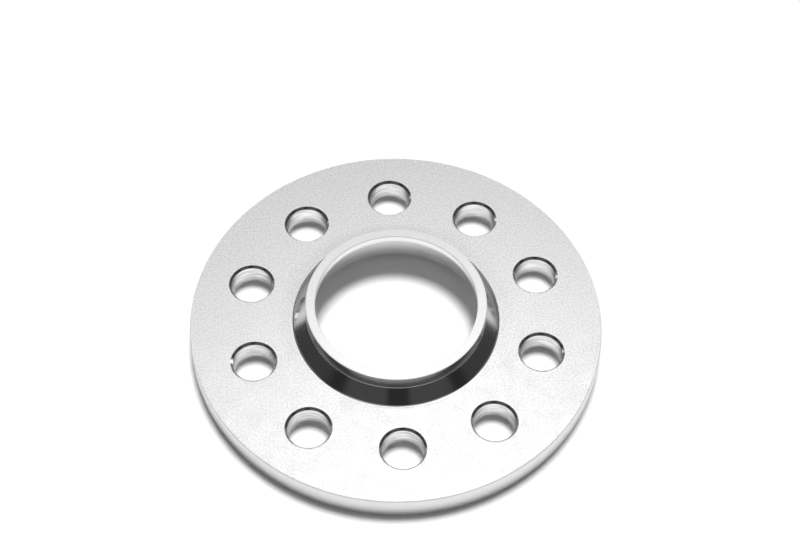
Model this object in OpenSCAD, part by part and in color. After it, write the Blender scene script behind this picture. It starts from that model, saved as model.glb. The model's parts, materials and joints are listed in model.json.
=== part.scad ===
// Wheel spacer: one turned disc of aluminium with a raised centring collar.
// It sits between a wheel and its hub. The hub's spigot enters the bore from
// below, and the wheel centres on the lip at the top of the collar.
// The hub face lies on z = 0, and +Z is the way the wheel goes on.

/* [Flange] */
// Outer diameter of the flange
flange_d = 149; // [142:0.5:180]
// Thickness of the flange, which is how far the wheel moves outwards
flange_t = 10; // [8:0.5:20]
// Edge break on both outer edges of the flange
flange_edge = 0.3; // [0.2:0.1:1.5]

/* [Centre] */
// Nominal centre diameter, shared by the hub's spigot and the wheel
centre_d = 65.1; // [56:0.1:72]
// Clearance of the hub's spigot in the bore, on the diameter
hub_clearance = 0.1; // [0.02:0.02:0.3]
// Clearance of the wheel on the lip, on the diameter
wheel_clearance = 0.1; // [0.02:0.02:0.3]

/* [Hub bore] */
// Lead-in chamfer at the mouth of the hub bore
bore_chamfer = 4.5; // [0.5:0.1:6]
// How far the straight hub bore runs on past the flange's wheel face
bore_reach = 2.3; // [0.5:0.1:2.5]
// Angle from the axis of the inner cone between the hub bore and the lip's bore
inner_cone_angle = 36; // [30:1:40]

/* [Collar] */
// Height of the collar's outer cone above the flange
cone_h = 4.7; // [4:0.1:6]
// Angle from the axis of the collar's outer cone
cone_angle = 45; // [30:1:55]
// Fillet where the outer cone runs out onto the flange
cone_root_r = 0.8; // [0.3:0.1:2]
// Height of the lip's straight seat and edge break above the cone
lip_h = 5.3; // [4:0.1:9]
// Wall of the lip
lip_wall = 3.4; // [2.5:0.1:4]
// Fillet between the lip's seat and the outer cone
lip_root_r = 0.4; // [0.2:0.1:1]
// Edge break on the lip's outer edge
lip_outer_edge = 0.2; // [0.1:0.1:1]
// Edge break on the lip's inner edge
lip_inner_edge = 0.2; // [0.1:0.1:1]

/* [Bolt holes] */
// Diameter of the larger bolt circle
large_circle_d = 110; // [106:0.1:116]
// Diameter of the smaller bolt circle
small_circle_d = 108; // [100:0.1:114]
// Bolt holes on each of the two circles
holes_per_circle = 5; // [3:1:5]
// Diameter of a bolt hole
bolt_hole_d = 15; // [12:0.1:17]
// Chamfer on both mouths of a bolt hole
bolt_chamfer = 0.85; // [0.3:0.05:1.5]

/* [Hidden] */
$fn = 128;

flange_r = flange_d / 2;
hub_bore_r = (centre_d + hub_clearance) / 2;
lip_r = (centre_d - wheel_clearance) / 2;
lip_bore_r = lip_r - lip_wall;
cone_base_r = lip_r + cone_h * tan(cone_angle);
cone_top_z = flange_t + cone_h;
top_z = cone_top_z + lip_h;
bore_end_z = flange_t + bore_reach;
lip_bore_z = bore_end_z + (hub_bore_r - lip_bore_r) / tan(inner_cone_angle);
bolt_hole_r = bolt_hole_d / 2;
// A hole on one circle stands midway between two holes on the other
hole_step = 360 / holes_per_circle;
first_hole_angle = 90;
// How far a cut runs past the face that it opens
cut_past = 1;

// Outline of one side of the turned section, with r along x and z along y
module section_outline() {
    polygon([
        [hub_bore_r + bore_chamfer, 0],
        [flange_r - flange_edge, 0],
        [flange_r, flange_edge],
        [flange_r, flange_t - flange_edge],
        [flange_r - flange_edge, flange_t],
        [cone_base_r, flange_t],
        [lip_r, cone_top_z],
        [lip_r, top_z - lip_outer_edge],
        [lip_r - lip_outer_edge, top_z],
        [lip_bore_r + lip_inner_edge, top_z],
        [lip_bore_r, top_z - lip_inner_edge],
        [lip_bore_r, lip_bore_z],
        [hub_bore_r, bore_end_z],
        [hub_bore_r, bore_chamfer],
    ]);
}

// Fillet of radius r in a corner at the origin, between walls that leave it at
// angles from and to, measured from the x axis
module corner_fillet(r, from, to) {
    half = (to - from) / 2;
    reach = r / tan(half);
    centre = (r / sin(half)) * [cos(from + half), sin(from + half)];
    difference() {
        polygon([
            [0, 0],
            reach * [cos(from), sin(from)],
            centre,
            reach * [cos(to), sin(to)],
        ]);
        translate(centre) circle(r);
    }
}

// The turned section with the fillets that the tool's nose leaves
module section() {
    section_outline();
    translate([cone_base_r, flange_t])
        corner_fillet(cone_root_r, 0, 90 + cone_angle);
    translate([lip_r, cone_top_z])
        corner_fillet(lip_root_r, cone_angle - 90, 90);
}

// Cutter for one bolt hole, chamfered at both faces of the flange
module bolt_hole() {
    mouth_h = bolt_chamfer + cut_past;
    translate([0, 0, -cut_past])
        cylinder(r = bolt_hole_r, h = flange_t + 2 * cut_past);
    translate([0, 0, -cut_past])
        cylinder(r1 = bolt_hole_r + mouth_h, r2 = bolt_hole_r, h = mouth_h);
    translate([0, 0, flange_t - bolt_chamfer])
        cylinder(r1 = bolt_hole_r, r2 = bolt_hole_r + mouth_h, h = mouth_h);
}

// The bolt holes of one circle, starting at the given angle
module bolt_circle(circle_d, start_angle) {
    for (i = [0 : holes_per_circle - 1])
        rotate(start_angle + i * hole_step)
            translate([circle_d / 2, 0, 0])
                bolt_hole();
}

module spacer() {
    color("silver")
        difference() {
            rotate_extrude() section();
            bolt_circle(large_circle_d, first_hole_angle);
            bolt_circle(small_circle_d, first_hole_angle + hole_step / 2);
        }
}

spacer();
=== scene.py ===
"""Looks of the wheel spacer: one turned and drilled aluminium disc with a bright centring collar."""
import json
import math

import bpy
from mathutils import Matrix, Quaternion, Vector


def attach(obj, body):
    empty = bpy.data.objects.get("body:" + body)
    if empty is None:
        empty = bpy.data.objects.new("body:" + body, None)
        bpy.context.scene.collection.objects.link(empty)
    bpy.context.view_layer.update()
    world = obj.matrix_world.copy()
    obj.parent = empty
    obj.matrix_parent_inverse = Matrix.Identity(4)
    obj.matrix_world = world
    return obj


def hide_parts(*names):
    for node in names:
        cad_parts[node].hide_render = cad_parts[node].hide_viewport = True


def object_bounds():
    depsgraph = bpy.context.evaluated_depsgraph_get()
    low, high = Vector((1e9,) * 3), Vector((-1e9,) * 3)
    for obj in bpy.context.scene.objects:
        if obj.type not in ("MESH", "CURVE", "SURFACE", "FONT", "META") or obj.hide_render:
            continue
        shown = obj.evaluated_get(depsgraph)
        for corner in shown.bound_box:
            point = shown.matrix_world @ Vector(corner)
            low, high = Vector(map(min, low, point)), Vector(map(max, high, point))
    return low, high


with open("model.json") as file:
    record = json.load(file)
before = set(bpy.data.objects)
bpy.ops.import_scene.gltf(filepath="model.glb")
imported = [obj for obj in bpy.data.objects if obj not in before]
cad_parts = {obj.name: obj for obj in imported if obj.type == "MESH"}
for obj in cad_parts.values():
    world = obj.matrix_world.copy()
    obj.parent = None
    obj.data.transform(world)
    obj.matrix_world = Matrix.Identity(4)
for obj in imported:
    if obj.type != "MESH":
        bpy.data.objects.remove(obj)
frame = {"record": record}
cad_low, cad_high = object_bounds()

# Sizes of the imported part, in metres
MM = 0.001
mounts = {mount["name"]: mount for mount in frame["record"]["mounts"]}
flange_r = cad_high.x
top_z = cad_high.z
wheel_face_z = mounts["wheel_face"]["pos_m"][2]
hub_bore_r = mounts["hub_bore"]["dims"]["r_mm"] * MM
lip_r = mounts["wheel_lip"]["dims"]["r_mm"] * MM
bolt_circles = [mounts["large_bolt_circle"]["dims"], mounts["small_bolt_circle"]["dims"]]
bolt_hole_r = bolt_circles[0]["hole_r_mm"] * MM

# Turned section
FLANGE_EDGE = 0.3 * MM
CONE_H = 4.7 * MM
CONE_ANGLE = math.radians(45)
CONE_ROOT_R = 0.8 * MM
LIP_ROOT_R = 0.4 * MM
LIP_WALL = 3.4 * MM
LIP_EDGE = 0.2 * MM
BORE_CHAMFER = 4.5 * MM
BORE_REACH = 2.3 * MM
INNER_CONE_ANGLE = math.radians(36)
SOFT_EDGE = 0.12 * MM
TURN_STEPS = 240
# Steps round each kind of edge, and the bevel profiles of a broken and a rounded one
BREAK_STEPS = 4
CONE_ROOT_STEPS = 6
LIP_ROOT_STEPS = 10
SOFT_STEPS = 2
BROKEN = 0.36
ROUNDED = 0.5

# Bolt holes
FIRST_HOLE_ANGLE = math.radians(90)
BOLT_CHAMFER = 0.85 * MM
DRILL_PAST = 1.0 * MM
DRILL_SIDES = 96
# Rings that the drill's feed leaves: each opens upwards to its crest, and some are deeper than others
FEED_PITCH = 1.0 * MM
FEED_DEPTH = 0.07 * MM
FEED_CREST = 0.85
FEED_UNEVEN = 0.4
FEED_SWING = 2.4

# Camera, as fitted to the photograph
CAMERA_LENS = 72.35
CAMERA_ELEVATION = math.radians(54.92)
CAMERA_TURN = math.radians(3.58)
CAMERA_ROLL = math.radians(1.127)
CAMERA_DISTANCE = 583.17 * MM
CENTRE_RIGHT = -1.437 * MM
CENTRE_DOWN = 15.287 * MM

lip_bore_r = lip_r - LIP_WALL
cone_base_r = lip_r + CONE_H * math.tan(CONE_ANGLE)
cone_top_z = wheel_face_z + CONE_H
bore_end_z = wheel_face_z + BORE_REACH
lip_bore_z = bore_end_z + (hub_bore_r - lip_bore_r) / math.tan(INNER_CONE_ANGLE)

# Corners of the turned section before their edges are broken, as radius and height
BORE_MOUTH = (hub_bore_r + BORE_CHAMFER, 0.0)
HUB_EDGE = (flange_r, 0.0)
WHEEL_EDGE = (flange_r, wheel_face_z)
CONE_FOOT = (cone_base_r, wheel_face_z)
LIP_FOOT = (lip_r, cone_top_z)
LIP_OUTER = (lip_r, top_z)
LIP_INNER = (lip_bore_r, top_z)
LIP_BORE_END = (lip_bore_r, lip_bore_z)
BORE_END = (hub_bore_r, bore_end_z)
BORE_START = (hub_bore_r, BORE_CHAMFER)
SECTION = [BORE_MOUTH, HUB_EDGE, WHEEL_EDGE, CONE_FOOT, LIP_FOOT, LIP_OUTER, LIP_INNER,
           LIP_BORE_END, BORE_END, BORE_START]

# Distance under which two points count as one
SAME_PLACE = 0.002 * MM
# Upright share of a normal over which a face is flat, and over which a wall counts as a slope
FLAT = 0.9999
SLOPED = 0.3
# Angle between two faces under which the shading runs on from one to the other
SMOOTH_ANGLE = math.radians(32)


# Modelling helpers
def deselect_all():
    bpy.ops.object.select_all(action="DESELECT")


def make_active(piece):
    deselect_all()
    piece.select_set(True)
    bpy.context.view_layer.objects.active = piece


def select_edges(piece, wanted):
    """Goes into edit mode with only the edges selected whose ends both pass the test."""
    bpy.ops.object.mode_set(mode="EDIT")
    bpy.ops.mesh.select_mode(type="EDGE")
    bpy.ops.mesh.select_all(action="DESELECT")
    bpy.ops.object.mode_set(mode="OBJECT")
    points = piece.data.vertices
    for edge in piece.data.edges:
        edge.select = all(wanted(points[index].co) for index in edge.vertices)
    bpy.ops.object.mode_set(mode="EDIT")


def at_height(height):
    return lambda point: abs(point.z - height) < SAME_PLACE


def on_ring(corner):
    radius, height = corner
    return lambda point: (abs(math.hypot(point.x, point.y) - radius) < SAME_PLACE
                          and abs(point.z - height) < SAME_PLACE)


def ease_ring(piece, corner, reach, segments, profile):
    """Bevels the ring of edges that a corner of the section has swept."""
    select_edges(piece, on_ring(corner))
    bpy.ops.mesh.bevel(offset=reach, offset_type="OFFSET", segments=segments, profile=profile,
                       affect="EDGES")
    bpy.ops.object.mode_set(mode="OBJECT")


# The turned blank
def draw_section():
    """One vertex, drawn out from corner to corner round the section."""
    deselect_all()
    start = Vector((SECTION[0][0], 0.0, SECTION[0][1]))
    bpy.ops.mesh.primitive_plane_add(size=MM, location=start)
    blank = bpy.context.object
    bpy.ops.object.transform_apply(location=True)
    bpy.ops.object.mode_set(mode="EDIT")
    bpy.ops.mesh.select_all(action="SELECT")
    bpy.ops.mesh.merge(type="CENTER")
    place = start
    for radius, height in SECTION[1:] + SECTION[:1]:
        corner = Vector((radius, 0.0, height))
        bpy.ops.mesh.extrude_vertices_move(TRANSFORM_OT_translate={"value": corner - place})
        place = corner
    bpy.ops.object.mode_set(mode="OBJECT")
    return blank


def turn_blank():
    blank = draw_section()
    blank.name = "turned_spacer"
    blank.data.name = "turned_spacer"
    bpy.ops.object.mode_set(mode="EDIT")
    bpy.ops.mesh.select_all(action="SELECT")
    bpy.ops.mesh.spin(steps=TURN_STEPS, angle=math.tau, center=(0.0, 0.0, 0.0), axis=(0.0, 0.0, 1.0))
    bpy.ops.mesh.select_all(action="SELECT")
    bpy.ops.mesh.remove_doubles(threshold=SAME_PLACE)
    bpy.ops.mesh.normals_make_consistent(inside=False)
    bpy.ops.object.mode_set(mode="OBJECT")
    ease_ring(blank, HUB_EDGE, FLANGE_EDGE, BREAK_STEPS, BROKEN)
    ease_ring(blank, WHEEL_EDGE, FLANGE_EDGE, BREAK_STEPS, BROKEN)
    cone_root_reach = CONE_ROOT_R * math.tan((math.pi / 2 - CONE_ANGLE) / 2)
    lip_root_reach = LIP_ROOT_R * math.tan(CONE_ANGLE / 2)
    ease_ring(blank, CONE_FOOT, cone_root_reach, CONE_ROOT_STEPS, ROUNDED)
    ease_ring(blank, LIP_FOOT, lip_root_reach, LIP_ROOT_STEPS, ROUNDED)
    ease_ring(blank, LIP_OUTER, LIP_EDGE, BREAK_STEPS, BROKEN)
    ease_ring(blank, LIP_INNER, LIP_EDGE, BREAK_STEPS, BROKEN)
    for corner in (BORE_MOUTH, LIP_BORE_END, BORE_END, BORE_START):
        ease_ring(blank, corner, SOFT_EDGE, SOFT_STEPS, ROUNDED)
    return blank


# The bolt holes
def bisect_at(height):
    bpy.ops.mesh.select_all(action="SELECT")
    bpy.ops.mesh.bisect(plane_co=(0.0, 0.0, height), plane_no=(0.0, 0.0, 1.0))


def swell_ring(drill, height, radius):
    """Opens or closes the drill's ring of points at one height to the radius."""
    select_edges(drill, at_height(height))
    scale = radius / bolt_hole_r
    bpy.ops.transform.resize(value=(scale, scale, 1.0), center_override=(0.0, 0.0, height))


def make_drill():
    """The hole as a solid on the Z axis: a flare for each chamfer, and the rings that the feed leaves."""
    low, high = -DRILL_PAST, wheel_face_z + DRILL_PAST
    deselect_all()
    bpy.ops.mesh.primitive_cylinder_add(vertices=DRILL_SIDES, radius=bolt_hole_r, depth=high - low,
                                        location=(0.0, 0.0, (low + high) / 2))
    drill = bpy.context.object
    bpy.ops.object.transform_apply(location=True)
    bpy.ops.object.mode_set(mode="EDIT")
    wall_low, wall_high = BOLT_CHAMFER, wheel_face_z - BOLT_CHAMFER
    ring_count = round((wall_high - wall_low) / FEED_PITCH)
    ring_step = (wall_high - wall_low) / ring_count
    starts = [wall_low + ring_step * index for index in range(ring_count)]
    for start in starts + [wall_high]:
        bisect_at(start)
    for index, start in enumerate(starts):
        crest = start + ring_step * FEED_CREST
        bisect_at(crest)
        depth = FEED_DEPTH * (1.0 + FEED_UNEVEN * math.sin(FEED_SWING * index))
        swell_ring(drill, crest, bolt_hole_r + depth)
    flare = bolt_hole_r + BOLT_CHAMFER + DRILL_PAST
    swell_ring(drill, low, flare)
    swell_ring(drill, high, flare)
    bpy.ops.object.mode_set(mode="OBJECT")
    return drill


def hole_places():
    """Centres of the bolt holes: a hole on one circle stands midway between two holes on the other."""
    places = []
    for number, circle in enumerate(bolt_circles):
        radius = circle["pcd_mm"] * MM / 2
        step = math.tau / circle["count"]
        for index in range(circle["count"]):
            angle = FIRST_HOLE_ANGLE + step * (index + number / len(bolt_circles))
            places.append(Vector((radius * math.cos(angle), radius * math.sin(angle), 0.0)))
    return places


def drill_holes(blank):
    drill = make_drill()
    copies = []
    for place in hole_places():
        make_active(drill)
        bpy.ops.object.duplicate()
        bpy.ops.transform.translate(value=place)
        copies.append(bpy.context.object)
    make_active(copies[0])
    for copy in copies:
        copy.select_set(True)
    bpy.ops.object.join()
    cutter = bpy.context.object
    make_active(blank)
    bpy.ops.object.modifier_add(type="BOOLEAN")
    cut = blank.modifiers[-1]
    cut.operation = "DIFFERENCE"
    cut.solver = "EXACT"
    cut.object = cutter
    bpy.ops.object.modifier_apply(modifier=cut.name)
    bpy.data.objects.remove(cutter)
    bpy.data.objects.remove(drill)


# Finishes
# Range in which nearly all of a noise lies
NOISE_LOW = 0.3
NOISE_HIGH = 0.7
# Height counts double beside the radius, so that the rings also show on the cone
HEIGHT_SHARE = 2.0
# Over this stretch outside the cone the flange turns from full metal to a blasted face with a matt share
# The full metal ring inside the stretch is painted shade: it takes no matt light, so the collar's foot is
# darker and the collar mirrors it dark
SHADE_RING_FADE_START = cone_base_r + 3.0 * MM
SHADE_RING_FADE_END = cone_base_r + 6.0 * MM
BLASTED_METALLIC = 0.68


def add_node(tree, kind, inputs=None, **settings):
    node = tree.nodes.new(kind)
    for name, value in settings.items():
        setattr(node, name, value)
    for name, value in (inputs or {}).items():
        node.inputs[name].default_value = value
    return node


def new_finish(name, roughness, metallic=1.0):
    """A bare metal finish. Gives the material, its node tree, its shader and the object coordinates."""
    finish = bpy.data.materials.new(name)
    finish.use_nodes = True
    tree = finish.node_tree
    shader = tree.nodes["Principled BSDF"]
    shader.inputs["Metallic"].default_value = metallic
    shader.inputs["Roughness"].default_value = roughness
    coordinates = add_node(tree, "ShaderNodeTexCoord")
    return finish, tree, shader, coordinates.outputs["Object"]


def noise(tree, vector, scale, detail=2.0):
    node = add_node(tree, "ShaderNodeTexNoise", {"Scale": scale, "Detail": detail})
    tree.links.new(vector, node.inputs["Vector"])
    return node.outputs["Fac"]


def spread(tree, value, low, high):
    """Stretches the middle of a noise to a range."""
    node = add_node(tree, "ShaderNodeMapRange",
                    {"From Min": NOISE_LOW, "From Max": NOISE_HIGH, "To Min": low, "To Max": high})
    tree.links.new(value, node.inputs["Value"])
    return node.outputs["Result"]


def bump(tree, height, shader, distance):
    node = add_node(tree, "ShaderNodeBump", {"Distance": distance, "Strength": 1.0})
    tree.links.new(height, node.inputs["Height"])
    tree.links.new(node.outputs["Normal"], shader.inputs["Normal"])


def from_axis(tree, vector):
    """Distance of a place from the bore axis."""
    squash = add_node(tree, "ShaderNodeVectorMath", operation="MULTIPLY")
    squash.inputs[1].default_value = (1.0, 1.0, 0.0)
    tree.links.new(vector, squash.inputs[0])
    radius = add_node(tree, "ShaderNodeVectorMath", operation="LENGTH")
    tree.links.new(squash.outputs["Vector"], radius.inputs[0])
    return radius.outputs["Value"]


def lathe_lines(tree, vector, per_metre):
    """Fine rings round the axis, finer than a noise in all directions can be."""
    parts = add_node(tree, "ShaderNodeSeparateXYZ")
    tree.links.new(vector, parts.inputs["Vector"])
    along = add_node(tree, "ShaderNodeMath", operation="MULTIPLY_ADD")
    tree.links.new(parts.outputs["Z"], along.inputs[0])
    along.inputs[1].default_value = HEIGHT_SHARE
    tree.links.new(from_axis(tree, vector), along.inputs[2])
    rings = add_node(tree, "ShaderNodeTexNoise", {"Scale": per_metre, "Detail": 2.0}, noise_dimensions="1D")
    tree.links.new(along.outputs["Value"], rings.inputs["W"])
    return rings.outputs["Fac"]


def streaks(tree, vector, length, height):
    """Marks that a tool leaves on an upright wall, longer than they are high."""
    stretch = add_node(tree, "ShaderNodeVectorMath", operation="MULTIPLY")
    stretch.inputs[1].default_value = (1.0 / length, 1.0 / length, 1.0 / height)
    tree.links.new(vector, stretch.inputs[0])
    return noise(tree, stretch.outputs["Vector"], scale=1.0, detail=3.0)


def grooves_round_axis(tree, shader, amount):
    """Blurs reflections up and down the wall, across the grooves that a tool leaves round it."""
    upright = add_node(tree, "ShaderNodeCombineXYZ", {"Z": 1.0})
    tree.links.new(upright.outputs["Vector"], shader.inputs["Tangent"])
    shader.inputs["Anisotropic"].default_value = amount


def satin_face():
    finish, tree, shader, place = new_finish("satin_face", roughness=0.32)
    grain = noise(tree, place, scale=1500.0, detail=3.0)
    tree.links.new(spread(tree, grain, low=0.68, high=0.96), shader.inputs["Base Color"])
    mottle = noise(tree, place, scale=260.0)
    tree.links.new(spread(tree, mottle, low=0.30, high=0.35), shader.inputs["Roughness"])
    bump(tree, noise(tree, place, scale=2400.0), shader, distance=0.02 * MM)
    # Painted shade round the collar's foot: full metal there, turning to the blasted face further out
    shade_ring_metallic = add_node(tree, "ShaderNodeMapRange", {
        "From Min": SHADE_RING_FADE_START, "From Max": SHADE_RING_FADE_END, "To Min": 1.0, "To Max": BLASTED_METALLIC})
    tree.links.new(from_axis(tree, place), shade_ring_metallic.inputs["Value"])
    tree.links.new(shade_ring_metallic.outputs["Result"], shader.inputs["Metallic"])
    return finish


def lip_face():
    finish, tree, shader, place = new_finish("lip_face", roughness=0.32, metallic=0.8)
    grain = noise(tree, place, scale=1800.0)
    tree.links.new(spread(tree, grain, low=0.84, high=0.92), shader.inputs["Base Color"])
    bump(tree, lathe_lines(tree, place, per_metre=9000.0), shader, distance=0.004 * MM)
    return finish


def collar_painted_dark():
    finish, tree, shader, place = new_finish("collar_painted_dark", roughness=0.1)
    lines = lathe_lines(tree, place, per_metre=7000.0)
    # Painted shade: the collar's metal is written darker than the rest of the part, standing in for the
    # dark room in front that it mirrors; the lathe lines vary it a little
    tree.links.new(spread(tree, lines, low=0.56, high=0.66), shader.inputs["Base Color"])
    bump(tree, lines, shader, distance=0.002 * MM)
    grooves_round_axis(tree, shader, amount=0.6)
    return finish


def turned_bore():
    finish, tree, shader, place = new_finish("turned_bore", roughness=0.22)
    lines = lathe_lines(tree, place, per_metre=5000.0)
    tree.links.new(spread(tree, lines, low=0.78, high=0.88), shader.inputs["Base Color"])
    bump(tree, lines, shader, distance=0.003 * MM)
    grooves_round_axis(tree, shader, amount=0.6)
    return finish


def turned_rim():
    finish, tree, shader, place = new_finish("turned_rim", roughness=0.28)
    lines = lathe_lines(tree, place, per_metre=6000.0)
    tree.links.new(spread(tree, lines, low=0.75, high=0.85), shader.inputs["Base Color"])
    bump(tree, lines, shader, distance=0.003 * MM)
    grooves_round_axis(tree, shader, amount=0.5)
    return finish


def broken_edge():
    finish, tree, shader, place = new_finish("broken_edge", roughness=0.4, metallic=0.4)
    grain = noise(tree, place, scale=1500.0)
    tree.links.new(spread(tree, grain, low=0.80, high=0.90), shader.inputs["Base Color"])
    return finish


def drilled_wall():
    finish, tree, shader, place = new_finish("drilled_wall", roughness=0.25)
    marks = streaks(tree, place, length=7.0 * MM, height=0.8 * MM)
    tree.links.new(spread(tree, marks, low=0.50, high=1.0), shader.inputs["Base Color"])
    bump(tree, marks, shader, distance=0.05 * MM)
    grooves_round_axis(tree, shader, amount=0.6)
    return finish


def cut_chamfer():
    finish, tree, shader, place = new_finish("cut_chamfer", roughness=0.14)
    grain = noise(tree, place, scale=1200.0)
    tree.links.new(spread(tree, grain, low=0.80, high=0.88), shader.inputs["Base Color"])
    return finish


# Which finish each face gets, by its place on the part
SATIN, LIP, COLLAR, BORE, RIM, EDGE, DRILLED, CHAMFER = range(8)


def finish_of(face, places):
    centre = face.center
    radius = math.hypot(centre.x, centre.y)
    level = abs(face.normal.z)
    if level > FLAT:
        return LIP if centre.z > cone_top_z else SATIN
    if centre.z > top_z - LIP_EDGE:
        return EDGE
    for place in places:
        if math.hypot(centre.x - place.x, centre.y - place.y) < bolt_hole_r + BOLT_CHAMFER:
            return CHAMFER if level > SLOPED else DRILLED
    if radius > flange_r - FLANGE_EDGE:
        return EDGE if level > SLOPED and centre.z > wheel_face_z / 2 else RIM
    return BORE if face.normal.x * centre.x + face.normal.y * centre.y < 0 else COLLAR


def dress(piece):
    for finish in (satin_face(), lip_face(), collar_painted_dark(), turned_bore(), turned_rim(), broken_edge(),
                   drilled_wall(), cut_chamfer()):
        piece.data.materials.append(finish)
    places = hole_places()
    for face in piece.data.polygons:
        face.material_index = finish_of(face, places)


def smooth(piece):
    """Smooth walls, with the flat faces kept dead flat up to their borders."""
    make_active(piece)
    bpy.ops.object.shade_smooth_by_angle(angle=SMOOTH_ANGLE)
    bpy.ops.object.mode_set(mode="EDIT")
    bpy.ops.mesh.select_mode(type="FACE")
    bpy.ops.mesh.select_all(action="DESELECT")
    bpy.ops.object.mode_set(mode="OBJECT")
    for face in piece.data.polygons:
        face.select = abs(face.normal.z) > FLAT
    bpy.ops.object.mode_set(mode="EDIT")
    bpy.ops.mesh.region_to_loop()
    bpy.ops.mesh.mark_sharp()
    bpy.ops.object.mode_set(mode="OBJECT")
    bpy.ops.object.modifier_add(type="WEIGHTED_NORMAL")
    piece.modifiers[-1].keep_sharp = True
    bpy.ops.object.modifier_apply(modifier=piece.modifiers[-1].name)


# Studio
FLOOR_SIZE = 16.0
FLOOR_WHITE = 0.95
# Where each light of the room stands, in degrees: it rises between the first two angles and falls
# between the last two. Tilt runs from the horizon behind the part, over the top, to the horizon in
# front of it, side from left to right, and swing from the front to either side. Wings and flanks
# stand on both sides. The horizon is full up to its lower angle and ends at its top. The level is
# how bright a light shows in metal.
OVERHEAD_TILT = (53.5, 61.5, 77.0, 87.0)
OVERHEAD_SIDE = (-14.0, -1.5, 8.0, 20.0)
OVERHEAD_LEVEL = 2.9
BACK_TILT = (6.0, 14.0, 44.0, 58.0)
BACK_SIDE = (-34.0, -20.0, 22.0, 36.0)
BACK_LEVEL = 0.22
WING_TILT = (10.0, 22.0, 88.0, 104.0)
WING_SIDE = (24.0, 36.0, 54.0, 66.0)
WING_LEVEL = 0.25
FRONT_TILT = (92.0, 104.0, 124.0, 138.0)
FRONT_SIDE = (-40.0, -26.0, 26.0, 40.0)
FRONT_LEVEL = 0.4
WINDOW_TILT = (-20.0, -10.0, 7.0, 15.0)
WINDOW_SIDE = (-64.0, -58.0, -50.0, -44.0)
WINDOW_LEVEL = 0.6
CARD_SWING = (7.0, 14.0, 46.0, 56.0)
CARD_LEVEL = 0.05
FLANK_SIDE = (54.0, 64.0, 88.0, 92.0)
FLANK_LEVEL = 0.03
HORIZON_TOP = 22.0
HORIZON_FULL = 8.0
HORIZON_SIDE = (-57.0, -47.0, 38.0, 48.0)
HORIZON_LEVEL = 0.75
ROOM_LEVEL = 0.033
# Share of a light that has no limit to its side
ALL_ROUND = 1.0


def lay_floor():
    bpy.ops.mesh.primitive_plane_add(size=FLOOR_SIZE, location=(0.0, 0.0, 0.0))
    floor = bpy.context.object
    floor.name = "floor"
    paint = bpy.data.materials.new("white_floor")
    paint.use_nodes = True
    shader = paint.node_tree.nodes["Principled BSDF"]
    shader.inputs["Base Color"].default_value = (FLOOR_WHITE, FLOOR_WHITE, FLOOR_WHITE, 1.0)
    shader.inputs["Roughness"].default_value = 1.0
    shader.inputs["Specular IOR Level"].default_value = 0.0
    floor.data.materials.append(paint)


def hang_lamp(name, level, turn, elevation, width):
    """A lamp behind the part, turned to the right, which shows in no reflection. Its level is how bright it
    makes a white floor."""
    lamp = bpy.data.lights.new(name, "SUN")
    lamp.energy = level * math.pi / math.sin(elevation)
    lamp.angle = width
    holder = bpy.data.objects.new(name, lamp)
    bpy.context.scene.collection.objects.link(holder)
    level_reach = math.cos(elevation)
    towards = Vector((math.sin(turn) * level_reach, math.cos(turn) * level_reach, math.sin(elevation)))
    holder.rotation_mode = "QUATERNION"
    holder.rotation_quaternion = towards.to_track_quat("Z", "Y")
    holder.visible_glossy = False


def ramp(tree, value, start, end):
    """Rises smoothly from 0 at the start to 1 at the end, or falls where the end comes first."""
    rising = end > start
    node = add_node(tree, "ShaderNodeMapRange", interpolation_type="SMOOTHSTEP")
    node.inputs["From Min"].default_value = min(start, end)
    node.inputs["From Max"].default_value = max(start, end)
    node.inputs["To Min"].default_value = 0.0 if rising else 1.0
    node.inputs["To Max"].default_value = 1.0 if rising else 0.0
    tree.links.new(value, node.inputs["Value"])
    return node.outputs["Result"]


def maths(tree, operation, first, second=None, third=None):
    node = add_node(tree, "ShaderNodeMath", operation=operation)
    for socket, value in zip(node.inputs, (first, second, third)):
        if isinstance(value, bpy.types.NodeSocket):
            tree.links.new(value, socket)
        elif value is not None:
            socket.default_value = value
    return node.outputs["Value"]


def band(tree, value, angles):
    """Rises between the first two angles and falls between the last two."""
    low_start, low_end, high_start, high_end = (math.radians(angle) for angle in angles)
    return maths(tree, "MULTIPLY", ramp(tree, value, low_start, low_end),
                 ramp(tree, value, high_end, high_start))


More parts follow.
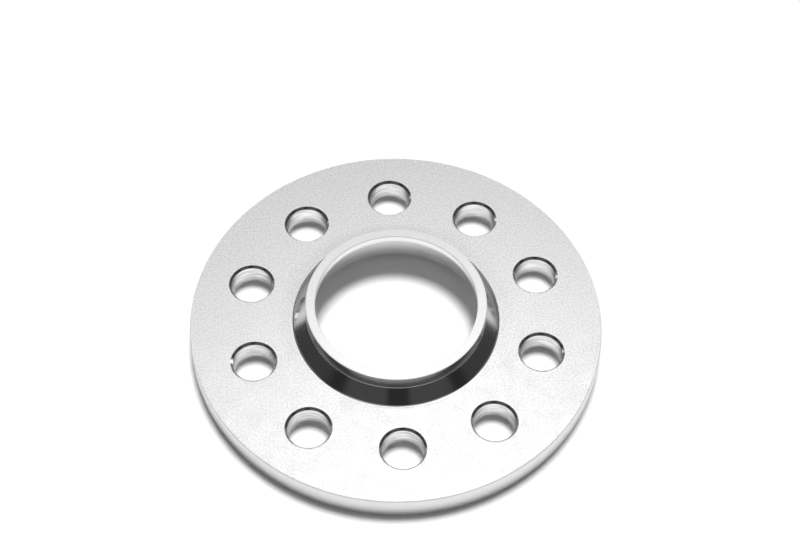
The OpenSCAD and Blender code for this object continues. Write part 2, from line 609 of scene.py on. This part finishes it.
def light_world():
    """A dim room that shows only in reflections: one soft light high behind the part, weak fills round
    it and a pale horizon."""
    world = bpy.data.worlds.new("studio")
    bpy.context.scene.world = world
    world.use_nodes = True
    tree = world.node_tree
    direction = add_node(tree, "ShaderNodeTexCoord").outputs["Generated"]
    parts = add_node(tree, "ShaderNodeSeparateXYZ")
    tree.links.new(direction, parts.inputs["Vector"])
    across, away, up = parts.outputs
    tilt = maths(tree, "ARCTAN2", up, away)
    side = maths(tree, "ARCSINE", across)
    either_side = maths(tree, "ABSOLUTE", side)
    low_tilt = maths(tree, "ARCTAN2", up, maths(tree, "ABSOLUTE", away))
    swing = maths(tree, "ARCTAN2", maths(tree, "ABSOLUTE", across), maths(tree, "MULTIPLY", away, -1.0))
    horizon = ramp(tree, low_tilt, math.radians(HORIZON_TOP), math.radians(HORIZON_FULL))
    lights = [
        (band(tree, tilt, OVERHEAD_TILT), band(tree, side, OVERHEAD_SIDE), OVERHEAD_LEVEL),
        (band(tree, tilt, BACK_TILT), band(tree, side, BACK_SIDE), BACK_LEVEL),
        (band(tree, tilt, WING_TILT), band(tree, either_side, WING_SIDE), WING_LEVEL),
        (band(tree, tilt, FRONT_TILT), band(tree, side, FRONT_SIDE), FRONT_LEVEL),
        (horizon, band(tree, side, HORIZON_SIDE), HORIZON_LEVEL),
        (band(tree, swing, CARD_SWING), ALL_ROUND, CARD_LEVEL),
        (band(tree, either_side, FLANK_SIDE), ALL_ROUND, FLANK_LEVEL),
        (band(tree, tilt, WINDOW_TILT), band(tree, side, WINDOW_SIDE), WINDOW_LEVEL),
    ]
    level = ROOM_LEVEL
    for one_way, other_way, strength in lights:
        level = maths(tree, "MULTIPLY_ADD", maths(tree, "MULTIPLY", one_way, other_way), strength, level)
    tree.links.new(level, tree.nodes["Background"].inputs["Color"])
    world.cycles_visibility.diffuse = False


def place_camera():
    camera = bpy.data.cameras.new("camera")
    camera.lens = CAMERA_LENS
    holder = bpy.data.objects.new("camera", camera)
    bpy.context.scene.collection.objects.link(holder)
    level_reach = math.cos(CAMERA_ELEVATION)
    forward = Vector((math.sin(CAMERA_TURN) * level_reach, math.cos(CAMERA_TURN) * level_reach,
                      -math.sin(CAMERA_ELEVATION)))
    turn = forward.to_track_quat("-Z", "Y") @ Quaternion((0.0, 0.0, 1.0), CAMERA_ROLL)
    right = turn @ Vector((1.0, 0.0, 0.0))
    up = turn @ Vector((0.0, 1.0, 0.0))
    centre = Vector((0.0, 0.0, wheel_face_z))
    holder.location = centre - right * CENTRE_RIGHT + up * CENTRE_DOWN - forward * CAMERA_DISTANCE
    holder.rotation_mode = "QUATERNION"
    holder.rotation_quaternion = turn
    bpy.context.scene.camera = holder


spacer = turn_blank()
drill_holes(spacer)
dress(spacer)
smooth(spacer)
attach(spacer, "root")
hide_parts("spacer")

lay_floor()
hang_lamp("floor_lamp", level=0.94, turn=math.radians(12), elevation=math.radians(77),
          width=math.radians(16))
hang_lamp("floor_fill", level=0.13, turn=0.0, elevation=math.radians(88), width=math.radians(100))
light_world()
place_camera()
bpy.context.scene.view_settings.view_transform = "Standard"
